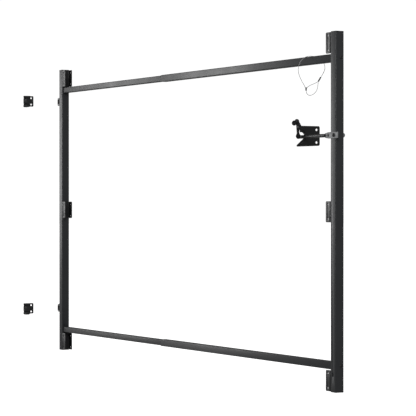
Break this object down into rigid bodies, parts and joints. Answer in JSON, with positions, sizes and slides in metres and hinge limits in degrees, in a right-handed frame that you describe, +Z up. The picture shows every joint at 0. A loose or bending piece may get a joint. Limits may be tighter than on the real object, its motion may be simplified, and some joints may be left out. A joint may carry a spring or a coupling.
{
  "type": "adjustable steel gate frame",
  "caption": "Adjustable-width steel gate frame with telescoping rails, wood-rail brackets, hook-on hinges, gravity latch and pull cable.",
  "frame": {"origin": "centre of the lower post leaf's two screw holes, on the face that lies on the post", "axes": "+X from the post along the closed gate, +Y to the back of the gate, +Z up"},
  "size_m": [2.4841, 0.249, 1.295],
  "materials": {
    "frame_paint": "charcoal black satin powder coat",
    "bracket_paint": "black satin powder coat",
    "hinge_paint": "black satin powder coat",
    "latch_paint": "deep black satin powder coat",
    "zinc_strap": "dull grey zinc plate",
    "plain_steel": "plain steel",
    "bolt_black": "black oxide",
    "cap_plastic": "fine matte grain",
    "wire_rope": "galvanised strands",
    "ferrule_dark": "grey pressed sleeve"
  },
  "bodies": {
    "post_leaves": {"post_leaf_upper": "hinge_paint", "post_leaf_lower": "hinge_paint"},
    "hinge_bushes": {"hinge_bush_upper": "hinge_paint", "hinge_bush_lower": "hinge_paint", "hinge_pin_upper": "plain_steel", "hinge_pin_lower": "plain_steel"},
    "hinge_side": {"hinge_ear_upper": "plain_steel", "hinge_ear_lower": "plain_steel", "hinge_stile": "frame_paint", "hinge_cap_top": "cap_plastic", "hinge_cap_bottom": "cap_plastic", "inner_rail_top": "frame_paint", "inner_rail_bottom": "frame_paint", "rail_plugs_hinge": "plain_steel", "rail_bolts_hinge": "bolt_black", "hinge_bracket_top": "bracket_paint", "hinge_bracket_middle": "bracket_paint", "hinge_bracket_bottom": "bracket_paint"},
    "latch_side": {"latch_stile": "frame_paint", "latch_cap_top": "cap_plastic", "latch_cap_bottom": "cap_plastic", "outer_rail_top": "frame_paint", "outer_rail_bottom": "frame_paint", "rail_plugs_latch": "plain_steel", "rail_bolts_latch": "bolt_black", "width_lock_screws": "bolt_black", "latch_bracket_top": "bracket_paint", "latch_bracket_middle": "bracket_paint", "latch_bracket_bottom": "bracket_paint", "striker_strap": "zinc_strap", "striker_bar": "latch_paint", "striker_rivet": "bolt_black", "striker_bolt": "bolt_black", "striker_nut": "plain_steel", "pull_cable": "wire_rope", "cable_ferrule_large": "ferrule_dark", "cable_ferrule_small": "ferrule_dark"},
    "latch_body": {"latch_plate": "latch_paint", "pawl_pivot": "latch_paint", "pawl_stop": "latch_paint"},
    "pawl": {"latch_pawl": "latch_paint"}
  },
  "joints": [
    {"name": "hang", "type": "slide", "parent": "post_leaves", "child": "hinge_bushes", "axis": [0, 1, 0], "range_m": [-0.168, 0]},
    {"name": "swing", "type": "hinge", "parent": "hinge_bushes", "child": "hinge_side", "pos_m": [0.01206, 0.138, 0], "axis": [0, 0, 1], "range_deg": [-90, 0]},
    {"name": "width", "type": "slide", "parent": "hinge_side", "child": "latch_side", "axis": [1, 0, 0], "range_m": [-0.914, 0]},
    {"name": "latch_offer", "type": "slide", "parent": "latch_side", "child": "latch_body", "axis": [1, 0, 0], "range_m": [-0.06, 0]},
    {"name": "pawl_swing", "type": "hinge", "parent": "latch_body", "child": "pawl", "pos_m": [2.23306, 0.1065, 0.7855], "axis": [-1, 0, 0], "range_deg": [0, 75]}
  ]
}
